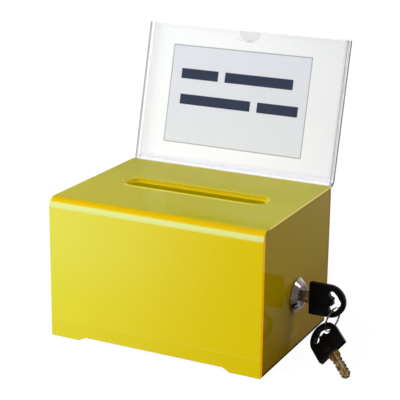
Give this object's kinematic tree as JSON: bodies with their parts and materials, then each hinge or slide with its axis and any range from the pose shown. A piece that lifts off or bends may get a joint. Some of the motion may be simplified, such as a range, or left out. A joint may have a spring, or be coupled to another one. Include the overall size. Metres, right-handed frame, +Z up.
{
  "type": "donation box",
  "caption": "Countertop acrylic collection box with a rounded slot in its bent top, a leaning clear sign holder, a sliding floor, and a keyed cam lock in its side.",
  "frame": {"origin": "on the table, under the middle of the box", "axes": "+X to the right seen from the front, +Y to the back, +Z up"},
  "size_m": [0.2115, 0.1514, 0.2],
  "materials": {
    "yellow_acrylic": "gloss",
    "clear_acrylic": "gloss, clear",
    "card": "matte",
    "chrome": "polished",
    "steel": "satin",
    "brass": "satin",
    "black_plastic": "satin"
  },
  "bodies": {
    "box": {"cover_sheet": "yellow_acrylic", "left_side": "yellow_acrylic", "right_side": "yellow_acrylic", "back_panel": "yellow_acrylic", "left_runner": "yellow_acrylic", "right_runner": "yellow_acrylic", "left_guide": "yellow_acrylic", "right_guide": "yellow_acrylic", "sign_front_sheet": "clear_acrylic", "sign_rear_sheet": "clear_acrylic", "lock_housing": "chrome", "lock_washer": "steel", "lock_nut": "steel"},
    "floor": {"floor_panel": "yellow_acrylic"},
    "card": {"sign_card": "card"},
    "lock_core": {"lock_plug": "chrome", "lock_wafers": "brass", "stop_washer": "steel", "lock_cam": "steel", "cam_screw": "steel"},
    "key": {"key_blade": "brass", "key_bow": "black_plastic"},
    "ring": {"key_ring": "steel"},
    "spare_key": {"spare_key_blade": "brass", "spare_key_bow": "black_plastic"}
  },
  "joints": [
    {"name": "floor_slide", "type": "slide", "parent": "box", "child": "floor", "axis": [0, 1, 0], "range_m": [0, 0.1]},
    {"name": "card_slide", "type": "slide", "parent": "box", "child": "card", "axis": [0, 0.2419, 0.9703], "range_m": [0, 0.095]},
    {"name": "lock_turn", "type": "hinge", "parent": "box", "child": "lock_core", "pos_m": [0.0795, -0.0005, 0.0388], "axis": [-1, 0, 0], "range_deg": [0, 90]},
    {"name": "key_pull", "type": "slide", "parent": "lock_core", "child": "key", "axis": [1, 0, 0], "range_m": [0, 0.03]},
    {"name": "ring_swing", "type": "hinge", "parent": "key", "child": "ring", "pos_m": [0.10781, -0.0005, 0.03422], "axis": [0.1599, 0.9871, 0], "range_deg": [-35, 0]},
    {"name": "spare_swing", "type": "hinge", "parent": "ring", "child": "spare_key", "pos_m": [0.10381, -0.00564, 0.01928], "axis": [0.0118, -0.7665, 0.6422], "range_deg": [0, 35]}
  ]
}
